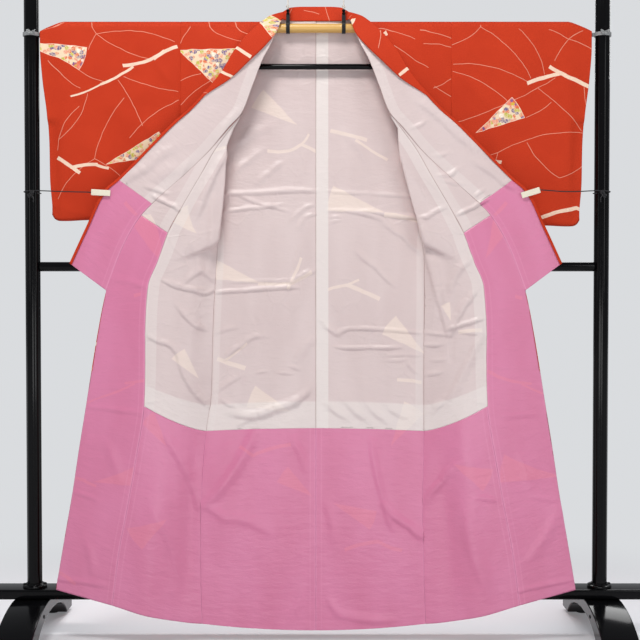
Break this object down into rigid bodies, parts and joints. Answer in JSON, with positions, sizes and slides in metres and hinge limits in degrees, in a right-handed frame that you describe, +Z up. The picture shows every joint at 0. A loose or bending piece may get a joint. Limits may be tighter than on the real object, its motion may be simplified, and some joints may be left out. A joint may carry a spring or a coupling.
{
  "type": "komon kimono on a display stand",
  "caption": "Wide-sleeved robe with full lining, opened and turned back from the front on a pole hanger, held by clips and ties to a black two-post display stand.",
  "frame": {"origin": "on the floor, midway between the two uprights and midway between the feet's front and rear ends", "axes": "+X to the viewer's right, +Y away from the viewer who faces the garment's opened front, +Z up"},
  "size_m": [1.6, 0.45, 1.64],
  "materials": {
    "outer_cloth": "red silk crepe with cream, purple, green and orange motifs",
    "body_lining": "plain white silk, thin enough for the red behind it to tint it",
    "hem_lining": "soft pink silk with a slight sheen",
    "bamboo": "smooth varnish",
    "lacquer": "gloss black lacquer",
    "black_cord": "matt woven elastic and webbing",
    "white_cord": "matt twisted cord",
    "clip_plastic": "smooth cream plastic",
    "tape": "matt grey tape",
    "pad_rubber": "matt black rubber"
  },
  "bodies": {
    "root": {"body_left": "outer_cloth", "body_right": "outer_cloth", "sleeve_left": "outer_cloth", "sleeve_right": "outer_cloth", "overlap_left": "outer_cloth", "overlap_right": "outer_cloth", "collar": "outer_cloth", "back_lining_left": "body_lining", "back_lining_right": "body_lining", "front_lining_left": "body_lining", "front_lining_right": "body_lining", "overlap_lining_left": "body_lining", "overlap_lining_right": "body_lining", "collar_lining_left": "body_lining", "collar_lining_right": "body_lining", "back_hem_lining_left": "hem_lining", "back_hem_lining_right": "hem_lining", "front_hem_lining_left": "hem_lining", "front_hem_lining_right": "hem_lining", "overlap_hem_lining_left": "hem_lining", "overlap_hem_lining_right": "hem_lining", "collar_end_lining_left": "hem_lining", "collar_end_lining_right": "hem_lining", "pole": "bamboo", "lower_bar": "lacquer", "link_left": "lacquer", "link_right": "lacquer", "strap_left": "black_cord", "strap_right": "black_cord", "connector_left": "lacquer", "connector_right": "lacquer", "hanging_cord_left": "white_cord", "hanging_cord_right": "white_cord", "clip_left": "clip_plastic", "clip_right": "clip_plastic", "clip_cord_left": "black_cord", "clip_cord_right": "black_cord", "tie_left": "tape", "tie_right": "tape", "upright_left": "lacquer", "upright_right": "lacquer", "top_bar": "lacquer", "middle_bar": "lacquer", "bottom_bar": "lacquer", "socket_left": "lacquer", "socket_right": "lacquer", "foot_left": "lacquer", "foot_right": "lacquer", "pad_left_front": "pad_rubber", "pad_left_rear": "pad_rubber", "pad_right_front": "pad_rubber", "pad_right_rear": "pad_rubber"}
  },
  "joints": []
}
